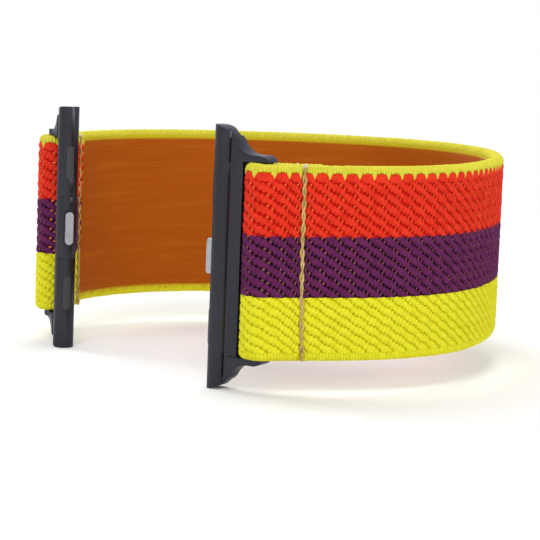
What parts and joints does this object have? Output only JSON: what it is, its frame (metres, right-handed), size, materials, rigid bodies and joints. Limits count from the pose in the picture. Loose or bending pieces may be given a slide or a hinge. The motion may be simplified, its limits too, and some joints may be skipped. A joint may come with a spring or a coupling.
{
  "type": "stretch watch band",
  "caption": "Elastic woven watch band folded and sewn at both ends round the cross pin of a metal lug, which slides into a watch case and is held by a sprung catch.",
  "frame": {"origin": "centre of the bounding box at the level of the lower ends of the two lugs, on which the band stands", "axes": "+X from the left lug to the right one, +Y from the open side to the back of the loop, +Z across the width of the webbing"},
  "size_m": [0.0688, 0.0612, 0.0354],
  "materials": {
    "webbing": "coarse diagonal twill, striped yellow, red and purple across its width",
    "seam_thread": "twisted tan thread",
    "lug_metal": "polished, dark graphite coating",
    "button_steel": "polished",
    "spring_steel": "drawn wire",
    "pad": "matt"
  },
  "bodies": {
    "band": {"webbing_end_right": "webbing", "webbing_end_left": "webbing", "webbing_side_right": "webbing", "webbing_side_left": "webbing", "seam_needle_thread_right": "seam_thread", "seam_needle_thread_left": "seam_thread", "seam_bobbin_thread_right": "seam_thread", "seam_bobbin_thread_left": "seam_thread"},
    "band_back": {"webbing_flank_right": "webbing", "webbing_flank_left": "webbing", "webbing_back": "webbing"},
    "lug_right": {"lug_frame_right": "lug_metal", "cross_pin_right": "lug_metal", "catch_springs_right": "spring_steel", "catch_cover_right": "lug_metal", "end_pad_upper_right": "pad", "end_pad_lower_right": "pad"},
    "catch_right": {"catch_button_right": "button_steel"},
    "lug_left": {"lug_frame_left": "lug_metal", "cross_pin_left": "lug_metal", "catch_springs_left": "spring_steel", "catch_cover_left": "lug_metal", "end_pad_upper_left": "pad", "end_pad_lower_left": "pad"},
    "catch_left": {"catch_button_left": "button_steel"}
  },
  "joints": [
    {"name": "band_stretch", "type": "slide", "parent": "band", "child": "band_back", "axis": [0, 1, 0], "range_m": [0, 0.015], "stiffness_N_per_m": 300, "deforming": ["webbing_side_right", "webbing_side_left"]},
    {"name": "lug_pivot_right", "type": "hinge", "parent": "band", "child": "lug_right", "pos_m": [0.0246, -0.0268, 0.0177], "axis": [0, 0, 1], "range_deg": [-60, 135]},
    {"name": "catch_press_right", "type": "slide", "parent": "lug_right", "child": "catch_right", "axis": [0.9336, 0.3584, 0], "range_m": [0, 0.0007], "stiffness_N_per_m": 300, "springref_m": -0.0005, "deforming": ["catch_springs_right"]},
    {"name": "lug_pivot_left", "type": "hinge", "parent": "band", "child": "lug_left", "pos_m": [-0.0246, -0.0268, 0.0177], "axis": [0, 0, -1], "range_deg": [-60, 135]},
    {"name": "catch_press_left", "type": "slide", "parent": "lug_left", "child": "catch_left", "axis": [-0.9336, 0.3584, 0], "range_m": [0, 0.0007], "stiffness_N_per_m": 300, "springref_m": -0.0005, "deforming": ["catch_springs_left"]}
  ]
}
